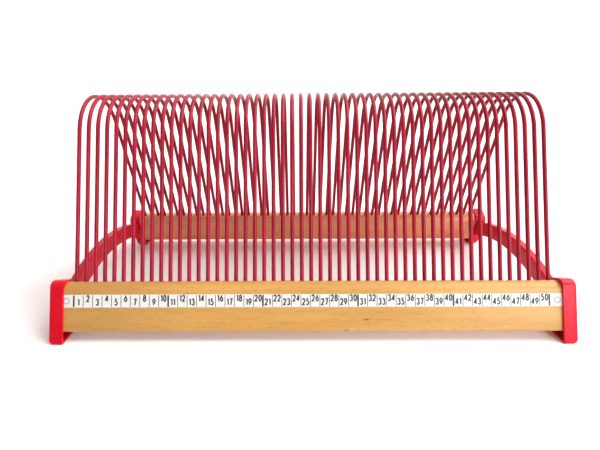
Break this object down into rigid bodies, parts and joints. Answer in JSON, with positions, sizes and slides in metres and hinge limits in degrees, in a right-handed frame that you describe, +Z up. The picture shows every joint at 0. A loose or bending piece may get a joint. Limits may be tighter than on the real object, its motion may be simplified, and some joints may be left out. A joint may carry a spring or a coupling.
{
  "type": "desktop record rack",
  "caption": "Desk-top rack that stands small vinyl records upright between arched wire hoops set in two leaning wooden rails.",
  "frame": {"origin": "on the surface the rack stands on, under the middle of the rack's bounding box", "axes": "+X along the row of slots, from number 1 to number 50; +Y from the numbered front rail to the rear rail; +Z up"},
  "size_m": [0.3254, 0.178, 0.1434],
  "materials": {
    "beech": "satin varnish",
    "strip_plastic": "printed, semi-gloss",
    "red_moulding": "gloss",
    "coated_wire": "gloss plastic coating on steel wire",
    "screw_steel": "zinc plated"
  },
  "bodies": {
    "root": {"front_rail": "beech", "rear_rail": "beech", "number_strip": "strip_plastic", "left_end_frame": "red_moulding", "right_end_frame": "red_moulding", "rail_screws": "screw_steel", "wire_01": "coated_wire", "wire_02": "coated_wire", "wire_03": "coated_wire", "wire_04": "coated_wire", "wire_05": "coated_wire", "wire_06": "coated_wire", "wire_07": "coated_wire", "wire_08": "coated_wire", "wire_09": "coated_wire", "wire_10": "coated_wire", "wire_11": "coated_wire", "wire_12": "coated_wire", "wire_13": "coated_wire", "wire_14": "coated_wire", "wire_15": "coated_wire", "wire_16": "coated_wire", "wire_17": "coated_wire", "wire_18": "coated_wire", "wire_19": "coated_wire", "wire_20": "coated_wire", "wire_21": "coated_wire", "wire_22": "coated_wire", "wire_23": "coated_wire", "wire_24": "coated_wire", "wire_25": "coated_wire", "wire_26": "coated_wire", "wire_27": "coated_wire", "wire_28": "coated_wire", "wire_29": "coated_wire", "wire_30": "coated_wire", "wire_31": "coated_wire", "wire_32": "coated_wire", "wire_33": "coated_wire", "wire_34": "coated_wire", "wire_35": "coated_wire", "wire_36": "coated_wire", "wire_37": "coated_wire", "wire_38": "coated_wire", "wire_39": "coated_wire", "wire_40": "coated_wire", "wire_41": "coated_wire", "wire_42": "coated_wire", "wire_43": "coated_wire", "wire_44": "coated_wire", "wire_45": "coated_wire", "wire_46": "coated_wire", "wire_47": "coated_wire", "wire_48": "coated_wire", "wire_49": "coated_wire", "wire_50": "coated_wire", "wire_51": "coated_wire"}
  },
  "joints": []
}
